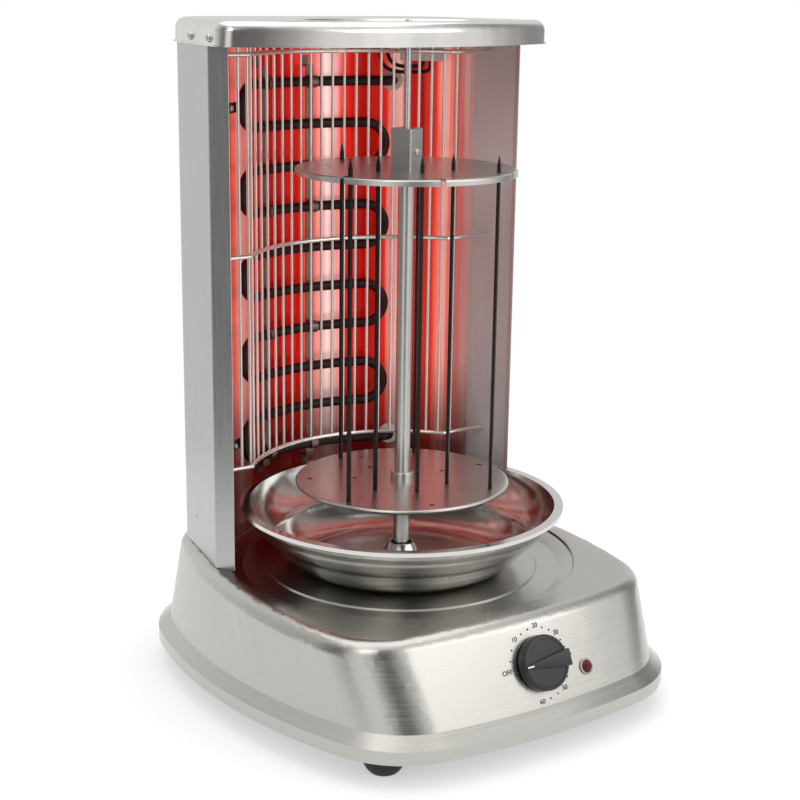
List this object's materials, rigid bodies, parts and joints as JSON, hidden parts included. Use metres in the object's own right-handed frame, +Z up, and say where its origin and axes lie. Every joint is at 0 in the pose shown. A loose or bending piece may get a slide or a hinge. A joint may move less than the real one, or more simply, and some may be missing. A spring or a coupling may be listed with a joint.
{
  "type": "electric skewer grill",
  "caption": "Upright electric skewer grill: turning spit with dark skewers between two discs in a curved steel casing, serpentine heater behind a wire guard, drip bowl, timer base.",
  "frame": {"origin": "on the table under the middle of the base's footprint; the spit's axis is 10.75 mm behind it", "axes": "+Z up along the spit, -Y out of the control panel, +X to the right as seen by the user"},
  "size_m": [0.345, 0.3656, 0.505],
  "materials": {
    "brushed_steel": "brushed, slightly warm",
    "casing_steel": "fine brushed",
    "polished_steel": "polished",
    "cover_steel": "polished, pressed",
    "plate_steel": "galvanised",
    "fastener": "zinc plated",
    "element_tube": "oxidised sheath",
    "strap_steel": "dull",
    "ceramic": "glazed ceramic",
    "lead_sleeve": "matt silicone sleeve",
    "guard_wire": "bright plated wire",
    "disc_steel": "satin",
    "skewer_steel": "dark, thin oil film",
    "knob_black": "satin black",
    "timer_body": "moulded",
    "lamp_red": "dark red faceted lens",
    "lamp_ring": "pale ring",
    "bush_nylon": "nylon",
    "rubber": "matt",
    "motor_can": "plated can",
    "gland_black": "nylon"
  },
  "bodies": {
    "housing": {"base_shell": "brushed_steel", "base_plate": "plate_steel", "rubber_feet": "rubber", "foot_screws": "fastener", "casing": "casing_steel", "reflector": "polished_steel", "reflector_screws": "fastener", "top_cover": "cover_steel", "cover_screws": "fastener", "pivot_plate": "plate_steel", "pivot_plate_screws": "fastener", "rod_nut": "fastener", "rod_lock_nut": "fastener", "heating_element": "element_tube", "element_insulators": "ceramic", "terminal_pins": "fastener", "element_straps": "strap_steel", "element_clips": "strap_steel", "clip_screws": "fastener", "terminal_box": "ceramic", "heater_lead_1": "lead_sleeve", "heater_lead_2": "lead_sleeve", "wire_guard": "guard_wire", "timer_unit": "timer_body", "lamp_lens": "lamp_red", "lamp_bezel": "lamp_ring", "lamp_body": "timer_body", "spindle_bush": "bush_nylon", "gear_motor": "motor_can", "motor_bracket": "plate_steel", "motor_screws": "fastener", "terminal_block": "bush_nylon", "cord_gland": "gland_black"},
    "spit": {"drive_shaft": "fastener", "drive_pin": "fastener", "centre_tube": "disc_steel", "disc_collar": "disc_steel", "lower_disc": "disc_steel", "upper_disc": "disc_steel", "hub_bracket": "disc_steel", "hub_screw": "fastener"},
    "pivot_rod": {"top_pivot_rod": "fastener"},
    "bowl": {"drip_bowl": "polished_steel"},
    "timer": {"timer_knob": "knob_black", "timer_shaft": "fastener"},
    "skewer_1": {"skewer_1": "skewer_steel"},
    "skewer_2": {"skewer_2": "skewer_steel"},
    "skewer_3": {"skewer_3": "skewer_steel"},
    "skewer_4": {"skewer_4": "skewer_steel"},
    "skewer_5": {"skewer_5": "skewer_steel"},
    "skewer_6": {"skewer_6": "skewer_steel"},
    "skewer_7": {"skewer_7": "skewer_steel"}
  },
  "joints": [
    {"name": "spit_spin", "type": "hinge", "parent": "housing", "child": "spit", "pos_m": [0, 0.01075, 0.1], "axis": [0, 0, 1], "continuous": true},
    {"name": "timer_turn", "type": "hinge", "parent": "housing", "child": "timer", "pos_m": [0.003, -0.16075, 0.0633], "axis": [-0.005, 0.9093, -0.4161], "range_deg": [0, 282]},
    {"name": "bowl_lift", "type": "slide", "parent": "housing", "child": "bowl", "axis": [0, 0, 1], "range_m": [0, 0.018]},
    {"name": "rod_raise", "type": "slide", "parent": "housing", "child": "pivot_rod", "axis": [0, 0, 1], "range_m": [0, 0.012]},
    {"name": "skewer_1_lift", "type": "slide", "parent": "spit", "child": "skewer_1", "axis": [0, 0, 1], "range_m": [0, 0.012]},
    {"name": "skewer_2_lift", "type": "slide", "parent": "spit", "child": "skewer_2", "axis": [0, 0, 1], "range_m": [0, 0.012]},
    {"name": "skewer_3_lift", "type": "slide", "parent": "spit", "child": "skewer_3", "axis": [0, 0, 1], "range_m": [0, 0.012]},
    {"name": "skewer_4_lift", "type": "slide", "parent": "spit", "child": "skewer_4", "axis": [0, 0, 1], "range_m": [0, 0.012]},
    {"name": "skewer_5_lift", "type": "slide", "parent": "spit", "child": "skewer_5", "axis": [0, 0, 1], "range_m": [0, 0.012]},
    {"name": "skewer_6_lift", "type": "slide", "parent": "spit", "child": "skewer_6", "axis": [0, 0, 1], "range_m": [0, 0.012]},
    {"name": "skewer_7_lift", "type": "slide", "parent": "spit", "child": "skewer_7", "axis": [0, 0, 1], "range_m": [0, 0.012]}
  ]
}
